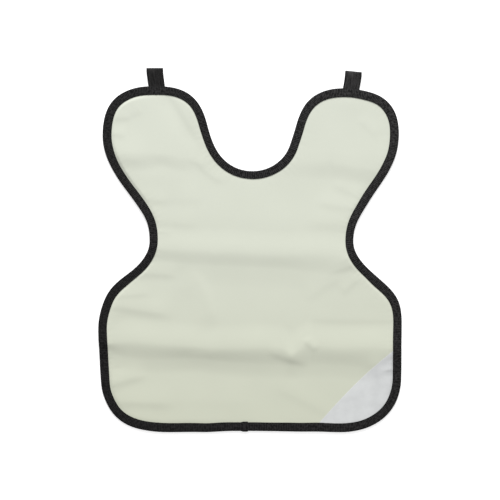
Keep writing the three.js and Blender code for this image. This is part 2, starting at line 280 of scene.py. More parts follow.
# Stitches round the binding, with grooves that they press into the face and the back
STITCH_PITCH = 4.0
STITCH_LENGTH = 3.2
STITCH_RADIUS = 0.26
STITCH_INSET = 14.0
STITCH_PLACES = (-1, -0.72, 0, 0.72, 1)  # of a stitch's rings, in half lengths from its middle
STITCH_SIDES = 6
STITCH_TAPER = 0.7
STITCH_BOW = 0.3
STITCH_SINK = 0.24  # how far the ends' middles lie below the tape's surface
BACK_STITCH_FLATNESS = 0.5  # share of a stitch's height that is left on the back
BACK_STITCH_LIFT = 0.02  # added to a stitch's radius, to keep the back row off the floor
Groove = namedtuple("Groove", "depth width")
FACE_GROOVE = Groove(0.16, 0.8)
BACK_GROOVE = Groove(0.34, 1.2)

# Numbers of points, and steps
CURVE_POINTS = 160  # of each stretch between two landmarks
PANEL_ROWS = (182, 68)  # below and above the neck
PANEL_COLUMNS = 92
PANEL_PULL = 8  # power by which the curves of the hem and the shoulder die away inside the panel
LEG_POINTS = 15
NOSE_POINTS = 11
TAPE_STEP = 2.4  # between the tape's sections
NEAR_STEP = 4  # between the points of the edge that near_edge measures from
LOOP_POINTS = (24, 17, 40)  # of the lower leg, the bight and the upper leg
LOOP_COLUMNS = 25
LABEL_POINTS = (90, 40)  # along the inner edge and out from it
LABEL_CROWDING = 1.7  # power that crowds them at the inner edge
SAME_DECIMALS = 3  # points of a sheet that agree to these are one point

# Shades, with the places on their pattern where they lie
COVER_SHADES = ((0.564, 0.588, 0.51), (0.565, 0.588, 0.5), (0.574, 0.595, 0.4825))
COVER_PLACES = (0, 0.5, 1)  # the shoulders, the middle and, yellower, the hem
COVER_FROM, COVER_TO = 0.33, -0.36  # where the first and the last of those lie, in metres
COVER_UNEVEN = (0.965, 1.035)
TAPE_SHADES = ((0.0008, 0.0007, 0.0008), (0.0235, 0.0227, 0.0229))
TAPE_PLACES = (0.46, 0.56)
# Painted light falloff on the binding's shades: lighter at the shoulders and to the right, darker at the hem
# and to the left
TAPE_PAINTED_FALLOFF = (1.31, 0.82)  # share of those at the shoulders and at the hem
TAPE_PAINTED_FALLOFF_ACROSS = (0.64, 1.18)  # and at the left side and at the right one
LOOP_SHADES = ((0.0025, 0.0024, 0.0024), (0.023, 0.0222, 0.0222))
LOOP_PLACES = (0.4, 0.6)
# Painted light on the loops' shades: the right loop painted lighter than the left
LOOP_PAINTED_LIGHT = (1.0, 2.0)  # share of those at the left loop and at the right one
LOOP_PAINTED_LIGHT_FROM, LOOP_PAINTED_LIGHT_TO = -0.1, 0.1  # where that change lies, in metres
LABEL_SHADES = ((0.576, 0.588, 0.588), (0.634, 0.648, 0.646))
LABEL_PLACES = (0.3, 0.7)
THREAD_SHADES = ((0.006, 0.006, 0.006), (0.016, 0.0155, 0.0155))
THREAD_PLACES = (0.2, 0.8)

PaintedEdgeShade = namedtuple("PaintedEdgeShade", "start end share")
# Painted shade at a tape's rolled edges: how far from its middle it begins to darken and ends, in
# millimetres, and the share that is left there
TAPE_EDGE_SHADE = PaintedEdgeShade(5.4, 8.0, 0.15)
LOOP_EDGE_SHADE = PaintedEdgeShade(12.6, 15.8, 0.3)
TAPE_NOSE_AT = 17.9  # across the tape, from its edge on the face to the nose
TAPE_LEG_AT = 9.8  # and from the nose to the middle of each leg

# Pitches of weaves, in millimetres
WAVE_NODE_TURN = 20  # radians of a wave node's bands for each unit of its scaled place
COVER_WEAVE = 0.85
TAPE_RIBS = 3.4
TAPE_THREADS = 0.6
LOOP_TWILL = 1.3
LOOP_HERRINGBONE = 4.1
LABEL_FLOATS = 0.5
LABEL_FLOATS_TURN = 45  # degrees
THREAD_PLIES = 0.45

# Shares of the first of two patterns that are mixed
CLOUD_SHARE = 0.6
RIB_SHARE = 0.7
TAPE_WEAVE_SHARE = 0.25
TWILL_SHARE = 0.25

COVER_WEAVE_RELIEF = 0.6  # height of the cover's weave beside its grain
STREAK_DRAW = 0.16  # streaks are drawn out along the loop by one over this

Grain = namedtuple("Grain", "size detail")
# Sizes of lumps in millimetres, and how many finer sizes are in them
COVER_GRAIN = Grain(1.6, 3)
COVER_CLOUDS = Grain(90, 3)
TAPE_FUZZ = Grain(4.4, 3)
LOOP_FUZZ = Grain(2.0, 4)
LOOP_STREAKS = Grain(3.6, 2)
LABEL_CLOUDS = Grain(22, 3)

Finish = namedtuple("Finish", "smooth rough depth strength shine")
# The range of roughness, the depth of bump in millimetres with its strength, and the shine
COVER_FINISH = Finish(0.52, 0.72, 0.05, 0.6, 0.3)
TAPE_FINISH = Finish(0.65, 0.9, 0.22, 0.8, 0.15)
LABEL_FINISH = Finish(0.38, 0.52, 0.04, 0.6, 0.35)
THREAD_FINISH = Finish(0.6, 0.6, 0.06, 0.7, 0.3)
TAPE_SHEEN = 0.04

# Floor, light and camera, in metres, with the lens and its sensor in millimetres
WHITE = (1, 1, 1, 1)
FLOOR_REACH = 200.0
FLOOR_LOOKS = {
    "Base Color": (0.93, 0.93, 0.93, 1),
    "Roughness": 0.9,
    "Specular IOR Level": 0.0,
    "Emission Color": WHITE,
    "Emission Strength": 0.42,
}
SKY = 0.62
KEY_PLACE = (0.0, 3.9, 2.05)
KEY_SIZE = (2.0, 1.4)
KEY_POWER = 240.0
VIEW_WIDTH = 1.010  # what the picture's 500 pixels take in, at 2.02 mm each
VIEW_HEIGHT = 0.0035  # the level that it is measured at
LENS = 85.0
SENSOR = 36.0


def smooth_step(value, start, end):
    """A cubic step from 0 at start to 1 at end, level at both."""
    share = np.clip((value - start) / (end - start), 0, 1)
    return share * share * (3 - 2 * share)


def bell(off, width):
    """A bell curve: 1 in the middle, and e to the minus square of the share of its width away from there."""
    return np.exp(-((off / width) ** 2))


def ripple(wave, distance):
    """A sine wave of a ripple or a swell at distances along it."""
    return wave.size * np.sin(2 * np.pi * distance / wave.pitch + wave.phase)


def closed_line(points):
    """A closed line's points, with the first again at the end, their distances round it and the way on."""
    closed = np.vstack([points, points[:1]])
    steps = np.linalg.norm(np.diff(closed, axis=0), axis=1)
    distance = np.concatenate([[0], np.cumsum(steps)])
    along = np.roll(points, -1, axis=0) - np.roll(points, 1, axis=0)
    along = np.vstack([along, along[:1]])
    along /= np.linalg.norm(along, axis=1)[:, None]
    return closed, distance, along


def smooth_edge():
    """Close points of the edge as it was cut.

    From one landmark to the next runs a cubic Bezier curve. Its handles lie along the two headings and are
    as long as those of a circular arc of the same chord and turn, times the first landmark's fullness."""
    start = np.array([(mark.x, mark.y) for mark in EDGE], float)
    heading = np.radians([mark.heading for mark in EDGE])
    fullness = np.array([mark.fullness for mark in EDGE])
    end = np.roll(start, -1, axis=0)
    ahead = np.column_stack([np.cos(heading), np.sin(heading)])
    turn = np.roll(heading, -1) - heading
    sweep = np.maximum(LEAST_SWEEP, np.abs(np.arctan2(np.sin(turn), np.cos(turn))))
    chord = np.linalg.norm(end - start, axis=1)
    handle = chord * fullness * 2 * np.tan(sweep / 4) / (3 * np.sin(sweep / 2))
    leaving = start + ahead * handle[:, None]
    arriving = end - np.roll(ahead, -1, axis=0) * handle[:, None]
    share = np.linspace(0, 1, CURVE_POINTS, endpoint=False)[None, :, None]
    rest = 1 - share
    return (
        rest**3 * start[:, None]
        + 3 * rest**2 * share * leaving[:, None]
        + 3 * rest * share**2 * arriving[:, None]
        + share**3 * end[:, None]
    ).reshape(-1, 2)


def landmark_distances(distance):
    """How far round the edge each landmark lies, from the distances of the edge's points."""
    return {mark.at: distance[i * CURVE_POINTS] for i, mark in enumerate(EDGE)}


def sewn_edge(points):
    """The cut edge moved inwards by a bell for each waver, with its distances, the way along it, and how far
    round it each landmark lies."""
    _, distance, along = closed_line(points)
    at = landmark_distances(distance)
    half_round = distance[-1] / 2
    inwards = 0
    for waver in WAVERS:
        past = distance[:-1] - at[waver.after] - waver.past
        gap = np.mod(past + half_round, 2 * half_round) - half_round
        inwards = inwards + waver.inwards * bell(gap, WAVER_WIDTH)
    inward = np.column_stack([along[:-1, 1], -along[:-1, 0]])
    closed, distance, along = closed_line(points + inward * inwards[:, None])
    return closed, distance, along, landmark_distances(distance)


CUT_EDGE = smooth_edge()
EDGE_POINTS, EDGE_DISTANCE, EDGE_ALONG, AT = sewn_edge(CUT_EDGE)
EDGE_LENGTH = EDGE_DISTANCE[-1]
# From the origin that the edge is measured from to the frame's origin
FRAME_SHIFT = np.array([cad_low.x, cad_low.y]) / MM - CUT_EDGE.min(axis=0)


def along_edge(values, distance):
    """Values kept for the edge's points, read at distances round the edge."""
    around = np.mod(distance, EDGE_LENGTH)
    return np.stack([np.interp(around, EDGE_DISTANCE, values[:, k]) for k in range(2)], axis=-1)


def edge_at(distance, inset=0.0):
    """Places at distances round the edge, moved in from it by an inset along its inward normal."""
    tangent = along_edge(EDGE_ALONG, distance)
    inward = np.stack([tangent[..., 1], -tangent[..., 0]], axis=-1)
    return along_edge(EDGE_POINTS, distance) + inward * np.asarray(inset)[..., None]


def near_edge(x, y):
    """Distance of each place from the edge, and how far round the edge the nearest point is."""
    around = np.arange(0, EDGE_LENGTH, NEAR_STEP)
    stations = edge_at(around)
    gaps = (x.reshape(-1, 1) - stations[:, 0]) ** 2 + (y.reshape(-1, 1) - stations[:, 1]) ** 2
    nearest = gaps.argmin(axis=1)
    inset = np.sqrt(gaps[np.arange(len(nearest)), nearest])
    return inset.reshape(x.shape), around[nearest].reshape(x.shape)


def strays(fold, line, x):
    """How far a fold's crest or foot strays from its line: a bell for each sway."""
    total = 0 * x
    for sway in SWAYS:
        if (sway.fold, sway.line) == (fold, line):
            total = total + sway.shift * bell(x - sway.x, sway.wide)
    return total


def bed(x, y):
    """Height of the folds' bed: each fold climbs by a smooth step from its foot to its crest and falls by
    another over its run. The shoulders rise by one more."""
    height = 0
    for fold in FOLDS:
        crest = fold.crest + fold.crest_lean * x + strays(fold.at, "crest", x)
        foot = fold.foot + fold.foot_lean * x + strays(fold.at, "foot", x)
        climb = smooth_step(y, foot, crest) - smooth_step(y, crest, crest + fold.run)
        left = fold.middle + (1 - fold.middle) * smooth_step(np.abs(x), *FOLD_MIDDLE)
        height = height + fold.height * left * climb
    start, end, rise = SHOULDER_RISE
    return height + rise * smooth_step(y, start, end)


def creases(x, y):
    """Sum of the creases: a lopsided bell across a bowed line, fading to nothing at the line's two ends."""
    total = 0
    for crease in CREASES:
        run = np.array([crease.to_x - crease.x, crease.to_y - crease.y], float)
        length = np.linalg.norm(run)
        run /= length
        share = ((x - crease.x) * run[0] + (y - crease.y) * run[1]) / length
        across = (y - crease.y) * run[0] - (x - crease.x) * run[1]
        off = across - crease.bow * 4 * share * (1 - share)
        width = crease.width * np.where(off > 0, CREASE_SKEW, 1)
        ends = smooth_step(share, 0, CREASE_FADE) * smooth_step(share, 1, 1 - CREASE_FADE)
        total = total + crease.height * ends * bell(off, width)
    return total


def swells(x, y):
    """Sum of the swells: plane sine waves, each along its own heading."""
    total = 0
    for swell in SWELLS:
        heading = np.radians(swell.heading)
        total = total + ripple(swell, x * np.cos(heading) + y * np.sin(heading))
    return total


def edge_puckers(gap, around):
    """Fine ripples beside the binding: a sine round the edge of wandering pitch, dying away with the gap."""
    wander = sum(ripple(wave, around) for wave in PUCKER_WANDER)
    wave = np.sin(2 * np.pi * around / PUCKER_PITCH + wander)
    return PUCKER_HEIGHT * wave * np.exp(-gap / PUCKER_REACH)


def panel_heights(x, y):
    """Heights of the panel's face and back: the bed and the cloth's own relief, which fades out under the
    binding, with the face pressed down beside the stitches."""
    inset, around = near_edge(x, y)
    gap = np.maximum(0, inset - leg_width(around))
    relief = (creases(x, y) + swells(x, y)) * smooth_step(gap, 0, RELIEF_FADE)
    relief = relief + edge_puckers(gap, around) * smooth_step(gap, 0, PUCKER_FADE)
    floor = bed(x, y) + np.maximum(relief, SEAT_GAP - PANEL_LOW)
    pressed = SEAM_DIP * np.exp(-gap / SEAM_DIP_REACH)
    return floor + PANEL_HIGH - pressed, floor + PANEL_LOW


def grid_quads(rows, columns, ring=False):
    """Corners of the quads between neighbouring rows and columns of a grid. A ring's last column meets its
    first."""
    row, column = np.meshgrid(np.arange(rows - 1), np.arange(columns - (not ring)), indexing="ij")
    near = row * columns + column
    far = row * columns + (column + 1) % columns
    return np.stack([near, far, far + columns, near + columns], axis=-1).reshape(-1, 4)


def cap_quads(ring):
    """Quads that close a ring of points, an even number of them, by joining its two sides."""
    half = len(ring) // 2
    one, other = ring[:half], ring[::-1][:half]
    return np.stack([one[:-1], one[1:], other[1:], other[:-1]], axis=-1)


def mesh_object(name, points, quads, material, uv=None):
    """A piece at the origin from points in millimetres, quads and, for each quad's corners, places along and
    across the tape or thread in millimetres."""
    placed = np.array(points, float)
    placed[:, :2] += FRAME_SHIFT
    mesh = bpy.data.meshes.new(name)
    mesh.vertices.add(len(placed))
    mesh.vertices.foreach_set("co", (placed * MM).astype(np.float32).ravel())
    mesh.loops.add(quads.size)
    mesh.loops.foreach_set("vertex_index", quads.astype(np.int32).ravel())
    mesh.polygons.add(len(quads))
    mesh.polygons.foreach_set("loop_start", np.arange(0, quads.size, 4, dtype=np.int32))
    mesh.polygons.foreach_set("use_smooth", np.ones(len(quads), bool))
    if uv is not None:
        layer = mesh.uv_layers.new(name=RUN)
        layer.data.foreach_set("uv", (uv.reshape(-1, 2) * MM).astype(np.float32).ravel())
    mesh.update()
    mesh.validate()
    mesh.materials.append(material)
    piece = bpy.data.objects.new(name, mesh)
    bpy.context.scene.collection.objects.link(piece)
    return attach(piece, BODY)


def thick_sheet(x, y, high, low, quads):
    """Points and quads of a closed sheet: its face, its back, and a wall at every edge that one quad has."""
    face = np.column_stack([x.ravel(), y.ravel(), high.ravel()])
    flat = np.round(face[:, :2], SAME_DECIMALS)
    _, first, same = np.unique(flat, axis=0, return_index=True, return_inverse=True)
    quads = same.reshape(-1)[quads]
    face = face[first]
    back = np.column_stack([face[:, :2], low.ravel()[first]])
    sides = np.stack([quads, np.roll(quads, -1, axis=1)], axis=-1).reshape(-1, 2)
    _, where, uses = np.unique(np.sort(sides, axis=1), axis=0, return_index=True, return_counts=True)
    rim = sides[where[uses == 1]]
    under = len(face)
    walls = np.column_stack([rim[:, 1], rim[:, 0], rim[:, 0] + under, rim[:, 1] + under])
    return np.vstack([face, back]), np.vstack([quads, quads[:, ::-1] + under, walls])


def half_panel(side, neck):
    """Places of one half of the panel on a grid, from its hem up and from its middle out.

    Four curves bound it: the hem, the middle line with the neck above it, the shoulder's top and the side.
    Places lie on straight lines from the middle to the side, and near the hem and the shoulder's top they
    are moved onto those curves by what the curves depart from straight. Neck is how far round the edge the
    neck's lowest point lies."""

    def halfway(start, end):
        return (AT[f"{side}_{start}"] + AT[f"{side}_{end}"]) / 2

    def stretch(start, end, share):
        return edge_at(start + (end - start) * share, PANEL_INSET)

    hem_middle = AT["lap_end"]
    neck_end = halfway("neck_rim", "shoulder_top")
    side_top = halfway("shoulder_top", "shoulder_side")
    side_foot = halfway("hem_side", "hem_corner")
    foot = edge_at(hem_middle, PANEL_INSET)
    throat = edge_at(neck, PANEL_INSET)
    below, above = PANEL_ROWS
    up_middle = np.linspace(0, 1, below, endpoint=False)
    middle = foot + (throat - foot) * up_middle[:, None]
    inner = np.vstack([middle, stretch(neck, neck_end, np.linspace(0, 1, above))])
    middle_length = np.linalg.norm(throat - foot)
    at_throat = middle_length / (middle_length + abs(neck_end - neck))
    up = np.concatenate([up_middle * at_throat, np.linspace(at_throat, 1, above)])
    outer = stretch(side_foot, side_top, up)
    out = np.linspace(0, 1, PANEL_COLUMNS)
    hem = stretch(hem_middle, side_foot, out)
    top = stretch(neck_end, side_top, out)
    hem_bow = hem - hem[0] - (hem[-1] - hem[0]) * out[:, None]
    top_bow = top - top[0] - (top[-1] - top[0]) * out[:, None]
    across = out[None, :, None]
    upward = up[:, None, None]
    places = inner[:, None] * (1 - across) + outer[:, None] * across
    return places + (1 - upward) ** PANEL_PULL * hem_bow + upward**PANEL_PULL * top_bow


def panel_cloth(material):
    """The panel: its two halves joined at the middle line, face and back."""
    halves = np.stack([half_panel("right", 0), half_panel("left", EDGE_LENGTH)[:, ::-1]])
    x, y = halves[..., 0], halves[..., 1]
    rows = sum(PANEL_ROWS)
    quads = grid_quads(rows, PANEL_COLUMNS)
    quads = np.vstack([quads, quads + rows * PANEL_COLUMNS])
    high, low = panel_heights(x, y)
    return mesh_object("panel_cloth", *thick_sheet(x, y, high, low, quads), material)


def label_lift(x, y):
    """How far the patch lifts the binding: its thickness, by a smooth step across its inner edge's chord."""
    chord = np.subtract(LABEL_SIDE_END, LABEL_HEM_END)
    chord = chord / np.linalg.norm(chord)
    inside = (x - LABEL_HEM_END[0]) * chord[1] - (y - LABEL_HEM_END[1]) * chord[0]
    return (LABEL_THICKNESS + TAPE_SEAT) * smooth_step(inside, *LABEL_LIFT)


def lap(distance):
    """Share of the tape's lapped end: a sharp start, full for a stretch, then a smooth fade."""
    start = smooth_step(distance, AT["lap_end"], AT["lap_start"])
    return start * smooth_step(distance, AT["lap_tail"], AT["lap_full"])


def pressed_in(groove, inset):
    """Depth of a groove along the stitches: a bell across them."""
    return groove.depth * bell(inset - STITCH_INSET, groove.width)


def tape_middle(inset):
    """Height above the bed of the middle of the tape's face leg: level at the nose, falling as the square of
    the distance from it to the panel's face, with a groove along the stitches."""
    seated = PANEL_HIGH - SEAM_DIP + TAPE_SEAT + TAPE_THICKNESS / 2
    full = 2 * NOSE_RADIUS - TAPE_THICKNESS / 2
    share = np.clip((inset - NOSE_RADIUS) / (TAPE_LEG - NOSE_RADIUS), 0, 1)
    return full - (full - seated) * share**2 - pressed_in(FACE_GROOVE, inset)


def leg_width(distance):
    """How far the tape's face leg reaches: smooth steps from one landmark's reach to the next one's,
    wandering a little as a sewn tape does."""
    marks = np.array([*(AT[mark.at] for mark in EDGE), EDGE_LENGTH])
    tape = np.array([*(mark.tape for mark in EDGE), EDGE[0].tape])
    around = np.mod(distance, EDGE_LENGTH)
    here = np.searchsorted(marks, around, side="right") - 1
    step = smooth_step(around, marks[here], marks[here + 1])
    wander = sum(ripple(wave, distance) for wave in LEG_WANDER)
    return tape[here] + (tape[here + 1] - tape[here]) * step + wander


def tape_section():
    """Insets and heights of the tape's closed section, with each point's share in the face: 1 on the face
    leg, 0 on the back leg, and between them round the nose.

    The middle line runs up the face leg, round the nose and along the back leg. The section is that line
    moved to both sides by half the thickness, which shrinks to nothing at the two edges along a half
    circle."""
    half = TAPE_THICKNESS / 2
    turn = NOSE_RADIUS - half
    legs = TAPE_LEG - (TAPE_LEG - NOSE_RADIUS) * np.linspace(0, 1, LEG_POINTS) ** 2
    angle = np.linspace(np.pi / 2, 3 * np.pi / 2, NOSE_POINTS)[1:-1]
    inset = np.concatenate([legs, NOSE_RADIUS + turn * np.cos(angle), legs[::-1]])
    back = half + pressed_in(BACK_GROOVE, legs[::-1])
    height = np.concatenate([tape_middle(legs), NOSE_RADIUS + turn * np.sin(angle), back])
    normal_inset = np.concatenate([0 * legs, np.cos(angle), 0 * legs])
    normal_height = np.concatenate([0 * legs + 1, np.sin(angle), 0 * legs - 1])
    near_end = np.clip((inset - (TAPE_LEG - half)) / half, 0, 1)
    reach = half * np.sqrt(1 - near_end**2)
    outside = np.column_stack([inset + reach * normal_inset, height + reach * normal_height])
    inside = np.column_stack([inset - reach * normal_inset, height - reach * normal_height])
    on_face = np.concatenate([0 * legs + 1, (1 + np.sin(angle)) / 2, 0 * legs])
    section = np.vstack([outside, inside[::-1][1:-1]])
    face = np.concatenate([on_face, on_face[::-1][1:-1]])
    return section[:, 0], section[:, 1], face


def binding_places(distance, inset, height, face):
    """Points of the binding: insets stretched by the tape's reach, the lap and the nose's bulge, and heights
    set on the bed and lifted, on the face, by the patch and the lap."""
    lapped = lap(distance)
    side = np.where(inset < TAPE_LEG / 2, -1, 1)
    stretch = np.where(inset > NOSE_RADIUS, (inset - NOSE_RADIUS) / (TAPE_LEG - NOSE_RADIUS), 0)
    bulge = NOSE_BULGE * np.maximum(0, 1 - inset / NOSE_RADIUS)
    reach = inset - bulge + stretch * (leg_width(distance) - TAPE_LEG) + side * lapped * LAP_OVERHANG
    place = edge_at(distance, reach)
    x, y = place[..., 0], place[..., 1]
    z = height + bed(x, y) + face * (label_lift(x, y) + lapped * LAP_RISE)
    return np.stack([x, y, z], axis=-1)


def binding_tape(material):
    """The binding: the tape's section carried once round the edge."""
    ends = [AT["lap_end"], AT["lap_start"], AT["lap_full"], AT["lap_tail"]]
    around = np.unique(np.concatenate([np.arange(0, EDGE_LENGTH - TAPE_STEP / 2, TAPE_STEP), ends]))
    inset, height, face = tape_section()
    distance = np.broadcast_to(around[:, None], (len(around), len(inset)))
    inset, height, face = (np.broadcast_to(values, distance.shape) for values in (inset, height, face))
    points = binding_places(distance, inset, height, face)
    rows, columns = distance.shape
    quads = grid_quads(rows + 1, columns, ring=True)[:, ::-1]
    girth = np.linalg.norm(np.diff(points[0], axis=0, append=points[0, :1]), axis=1)
    across = np.concatenate([[0], np.cumsum(girth)])
    along = np.append(around, EDGE_LENGTH)
    row, column = np.divmod(grid_quads(rows + 1, columns + 1)[:, ::-1], columns + 1)
    uv = np.stack([along[row], across[column]], axis=-1)
    return mesh_object("binding_tape", points.reshape(-1, 3), quads % (rows * columns), material, uv)


def stitch_row(name, material, on_face):
    """A row of stitches round the binding, each a bowed thread whose two ends dive into the tape.

    A stitch is a ring of points carried along it. Its middle line rises as one minus the square of the share
    of its half length, and its radius narrows to its ends."""
    count = int(EDGE_LENGTH / STITCH_PITCH)
    middle = (np.arange(count) + 0.5) * EDGE_LENGTH / count
    share = np.array(STITCH_PLACES)
    sides = np.arange(STITCH_SIDES)
    angle = sides * 2 * np.pi / STITCH_SIDES
    radius = STITCH_RADIUS * np.sqrt(1 - STITCH_TAPER * share**2)
    along = share * STITCH_LENGTH / 2
    rise = STITCH_BOW * (1 - share**2) - STITCH_SINK
    across = radius[:, None] * np.cos(angle)
    up = rise[:, None] + radius[:, None] * np.sin(angle)
    shape = (count, len(share), STITCH_SIDES)
    distance = np.broadcast_to(middle[:, None, None] + along[None, :, None], shape)
    inset = np.broadcast_to(STITCH_INSET + across[None], shape)
    if on_face:
        height = tape_middle(inset) + TAPE_THICKNESS / 2 + up[None]
    else:
        height = STITCH_RADIUS + BACK_STITCH_LIFT - up[None] * BACK_STITCH_FLATNESS + 0 * inset
    points = binding_places(distance, inset, height, np.full(shape, float(on_face)))
    rings = grid_quads(len(share), STITCH_SIDES, ring=True)
    last = (len(share) - 1) * STITCH_SIDES
    one = np.vstack([rings, cap_quads(sides)[:, ::-1], cap_quads(last + sides)])
    if on_face:
        one = one[:, ::-1]
    each = np.arange(count)[:, None, None] * (len(share) * STITCH_SIDES)
    quads = (one[None] + each).reshape(-1, 4)
    turn = np.tile(sides / STITCH_SIDES, len(share))
    run = np.repeat(along, STITCH_SIDES)
    uv = np.stack([run[one], turn[one]], axis=-1)
    uv = np.broadcast_to(uv, (count, *uv.shape))
    return mesh_object(name, points.reshape(-1, 3), quads, material, uv)


def loop_line(length):
    """The middle line of a loop's tape, as distances along the loop and heights.

    It runs along the floor, round a half circle and down a smooth step to lie on its own lower end."""
    half = TAPE_THICKNESS / 2
    bight = length - LOOP_OUTER_RADIUS
    turn = LOOP_OUTER_RADIUS - half
    below, round_bight, above = LOOP_POINTS
    lower = np.linspace(-LOOP_TUCK, bight, below)
    angle = np.linspace(-np.pi / 2, np.pi / 2, round_bight)[1:-1]
    upper = np.linspace(bight, -LOOP_TUCK, above)
    rest = TAPE_THICKNESS + SEAT_GAP + half
    fall = rest + (LOOP_OUTER_RADIUS + turn - rest) * smooth_step(upper, LOOP_REST, bight)
    along = np.concatenate([lower, bight + turn * np.cos(angle), upper])
    height = np.concatenate([0 * lower + half, LOOP_OUTER_RADIUS + turn * np.sin(angle), fall])
    return along, height


def hang_loop(loop, material):
    """A loop: the tape's flat section, with rounded selvedges, carried along the loop's middle line.

    The way out is a parabola that leans by about twice the loop's lean at the foot and runs straight up at
    the bight, and the tape wanders a little from side to side."""
    along, height = loop_line(loop.length)
    step = np.column_stack([np.gradient(along), np.gradient(height)])
    step /= np.linalg.norm(step, axis=1)[:, None]
    half_width = LOOP_WIDTH / 2
    half = TAPE_THICKNESS / 2
    across = half_width * np.sin(np.linspace(-np.pi / 2, np.pi / 2, LOOP_COLUMNS))
    edge = np.clip((np.abs(across) - (half_width - half)) / half, 0, 1)
    thick = half * np.sqrt(1 - edge**2)
    ring_across = np.concatenate([across, across[::-1][1:-1]])
    ring_out = np.concatenate([-thick, thick[::-1][1:-1]])
    out_along = along[:, None] - step[:, 1:] * ring_out[None]
    up = height[:, None] + step[:, :1] * ring_out[None]
    wander = LOOP_WANDER * np.sin(along / LOOP_WANDER_RUN + loop.x)[:, None]
    side = ring_across[None] + wander
    lean = np.radians(loop.lean)
    tilt = np.radians(loop.tilt)
    share = out_along / loop.length
    bent = loop.length * np.where(share > 0, share * (2 - share), 2 * share)
    x = loop.x + bent * np.sin(lean) + side * np.cos(tilt)
    y = loop.y + out_along * np.cos(lean) - side * np.sin(tilt)
    points = np.stack([x, y, up], axis=-1)
    rows, columns = x.shape
    first = np.arange(columns)
    ends = [cap_quads(first), cap_quads((rows - 1) * columns + first)[:, ::-1]]
    quads = np.vstack([grid_quads(rows, columns, ring=True)[:, ::-1], *ends])
    run = np.concatenate([[0], np.cumsum(np.hypot(np.diff(along), np.diff(height)))])
    row, column = np.divmod(quads, columns)
    uv = np.stack([run[row], ring_across[column]], axis=-1)
    return mesh_object(loop.piece, points.reshape(-1, 3), quads, material, uv)


def label_patch(material):
    """The patch: straight lines from points of its inner edge, a parabola, to points of the binding round
    the corner, lying on the panel's face, with the inner edge rounded off and one small crease."""
    hem_end, bow, side_end = np.array([LABEL_HEM_END, LABEL_BOW, LABEL_SIDE_END], float)
    _, around = near_edge(*np.transpose([hem_end, side_end]))
    along, outwards = LABEL_POINTS
    share = np.linspace(0, 1, along)[:, None]
    inner = (1 - share) ** 2 * hem_end + 2 * share * (1 - share) * bow + share**2 * side_end
    outer = edge_at(around[0] + (around[1] - around[0]) * share[:, 0], LABEL_INSET)
    out = np.linspace(0, 1, outwards)[None, :, None] ** LABEL_CROWDING
    places = inner[:, None] * (1 - out) + outer[:, None] * out
    x, y = places[..., 0], places[..., 1]
    face, _ = panel_heights(x, y)
    from_rim = np.linalg.norm(places - inner[:, None], axis=-1)
    rounded = np.sqrt(np.clip(1 - (1 - np.minimum(from_rim / LABEL_THICKNESS, 1)) ** 2, 0, 1))
    crease = LABEL_CREASE
    off = y - crease.y - crease.lean * (x - crease.x)
    lift = crease.height * bell(off, crease.width) * smooth_step(x, crease.start, crease.full)
    low = face + TAPE_SEAT + lift
    high = low + LABEL_THICKNESS * (LABEL_RIM + (1 - LABEL_RIM) * rounded)
    return mesh_object("label_patch", *thick_sheet(x, y, high, low, grid_quads(*x.shape)), material)


def new_material(name):
    """A material with its node tree and its Principled shader."""
    material = bpy.data.materials.new(name)
    material.use_nodes = True
    return material, material.node_tree, material.node_tree.nodes["Principled BSDF"]


def add_node(tree, kind, inputs=None, **settings):
    """A node with its settings. Of its inputs, a socket is linked and anything else is set."""
    node = tree.nodes.new(kind)
    for name, value in settings.items():
        setattr(node, name, value)
    for name, value in (inputs or {}).items():
        if isinstance(value, bpy.types.NodeSocket):
            tree.links.new(value, node.inputs[name])
        else:
            node.inputs[name].default_value = value
    return node


def object_place(tree):
    """Places in the object's own frame, in metres."""
    return add_node(tree, "ShaderNodeTexCoord").outputs["Object"]


def run_place(tree):
    """Places along and across a tape or thread, in metres."""
    return add_node(tree, "ShaderNodeUVMap", uv_map=RUN).outputs["UV"]


def parts(tree, vector):
    """The X, Y and Z of a vector."""
    return add_node(tree, "ShaderNodeSeparateXYZ", {"Vector": vector}).outputs


def math(tree, operation, first, second=0.0):
    """The result of a math node on two values or sockets."""
    return add_node(tree, "ShaderNodeMath", {0: first, 1: second}, operation=operation).outputs[0]


def mixed(tree, first, share, second):
    """A share of one value and the rest of another."""
    return math(tree, "ADD", math(tree, "MULTIPLY", first, share), math(tree, "MULTIPLY", second, 1 - share))


def apart(tree, value, place):
    """How far a value in metres is from a place in millimetres."""
    return math(tree, "ABSOLUTE", math(tree, "SUBTRACT", value, place * MM))


def between(tree, value, start, end, low, high):
    """A value carried from the range between start and end to the range between low and high."""
    inputs = {"Value": value, "From Min": start, "From Max": end, "To Min": low, "To Max": high}
    return add_node(tree, "ShaderNodeMapRange", inputs).outputs["Result"]


def painted_edge_shade(tree, off, edge_shade):
    """Painted shade across a tape, from how far off its middle a place is."""
    return between(tree, off, edge_shade.start * MM, edge_shade.end * MM, 1, edge_shade.share)


def bands(tree, vector, direction, pitch):
    """Sine bands of a pitch in millimetres along one direction of a vector in metres."""
    scale = 2 * np.pi / (WAVE_NODE_TURN * pitch * MM)
    inputs = {"Vector": vector, "Scale": scale, "Distortion": 0.0, "Detail": 0.0}
    node = add_node(tree, "ShaderNodeTexWave", inputs, wave_type="BANDS", bands_direction=direction)
    return node.outputs["Fac"]


def noise(tree, vector, grain):
    """Noise whose lumps are about the grain's size in millimetres across."""
    inputs = {"Vector": vector, "Scale": 1 / (grain.size * MM), "Detail": grain.detail}
    return add_node(tree, "ShaderNodeTexNoise", inputs).outputs["Fac"]


